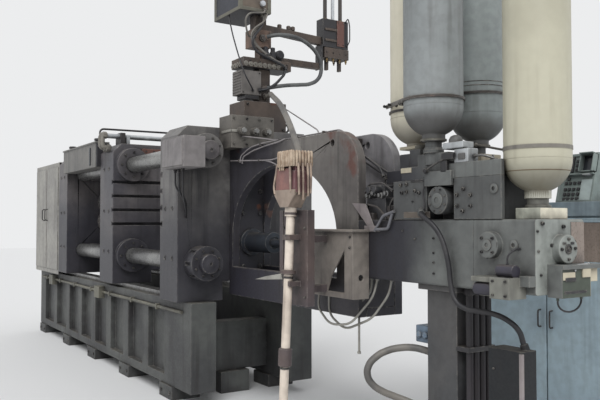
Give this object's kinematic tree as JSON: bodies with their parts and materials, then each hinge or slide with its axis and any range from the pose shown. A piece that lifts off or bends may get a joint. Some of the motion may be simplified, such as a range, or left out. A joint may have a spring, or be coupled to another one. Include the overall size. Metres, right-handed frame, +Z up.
{
  "type": "cold chamber die casting machine",
  "caption": "Horizontal cold chamber die casting machine: toggle clamp with tie bars and platens, C-frame shot end with gas bottles, sprayer and controls.",
  "frame": {"origin": "on the floor under the die face of the fixed platen, on the centre plane, at the foot under that platen", "axes": "+X along the machine from the clamp towards the shot end, +Y to the side away from the operator, +Z up"},
  "size_m": [8.8, 2.45, 4.3],
  "materials": {
    "bed_paint": "dark grey paint, oily",
    "platen_paint": "grey paint under grease and soot",
    "bright_steel": "ground steel",
    "link_iron": "machined cast iron, greased",
    "guard_paint": "light grey paint, dusty",
    "frame_rust": "worn paint over cast iron with rust stains",
    "block_paint": "grey green paint with oil stains",
    "cream_paint": "cream yellow paint",
    "grey_paint": "grey paint, dirty below",
    "beige_paint": "beige grey paint, worn",
    "sprayer_iron": "brown grey paint under soot",
    "copper_tube": "scorched copper with red brown shell",
    "cabinet_paint": "pale blue grey paint",
    "hose_rubber": "dull rubber hose"
  },
  "bodies": {
    "machine": {"bed_beams": "bed_paint", "bed_cross_members": "bed_paint", "bed_feet": "bed_paint", "slide_rails": "bright_steel", "fixed_platen": "platen_paint", "moving_platen": "platen_paint", "link_housing": "platen_paint", "tie_bars": "bright_steel", "tie_bar_nuts": "platen_paint", "nut_cover": "guard_paint", "rear_links": "link_iron", "front_links": "link_iron", "toggle_pins": "bright_steel", "crosshead_links": "link_iron", "crosshead": "link_iron", "crosshead_guides": "bright_steel", "ejector_cylinder": "platen_paint", "closing_cylinder": "platen_paint", "top_tank": "guard_paint", "rear_cover": "guard_paint", "top_pipes": "bright_steel", "platen_valve_block": "platen_paint", "c_frame_near": "frame_rust", "c_frame_far": "frame_rust", "c_frame_end_plate": "frame_rust", "c_frame_web": "frame_rust", "shot_block": "block_paint", "shot_end_head": "block_paint", "shot_rod": "bright_steel", "plunger": "bright_steel", "shot_sleeve": "bright_steel", "pilot_valves": "block_paint", "manifold_lower": "block_paint", "valve_drum": "block_paint", "manifold_upper": "block_paint", "cream_bottles": "cream_paint", "grey_bottles": "grey_paint", "bottle_strap": "guard_paint", "shot_valves": "block_paint", "shot_pillar": "beige_paint", "low_post": "beige_paint", "side_bracket": "beige_paint", "sprayer_post": "sprayer_iron", "sprayer_boom": "sprayer_iron", "sprayer_drives": "sprayer_iron", "sprayer_box": "sprayer_iron", "ram_guide": "sprayer_iron", "lance_head": "copper_tube", "lance_pipe": "cream_paint", "lance_channel": "frame_rust", "control_cabinet": "cabinet_paint", "keypad_panel": "cabinet_paint", "lance_hose": "hose_rubber", "loop_hose": "hose_rubber", "post_hose": "hose_rubber", "boom_hose": "hose_rubber", "drive_hose": "hose_rubber", "valve_hose": "hose_rubber"},
    "spray_ram": {"ram_rods": "bright_steel", "ram_foot": "sprayer_iron"}
  },
  "joints": [
    {"name": "ram_slide", "type": "slide", "parent": "machine", "child": "spray_ram", "axis": [0, 0, -1], "range_m": [0, 0.6]}
  ]
}
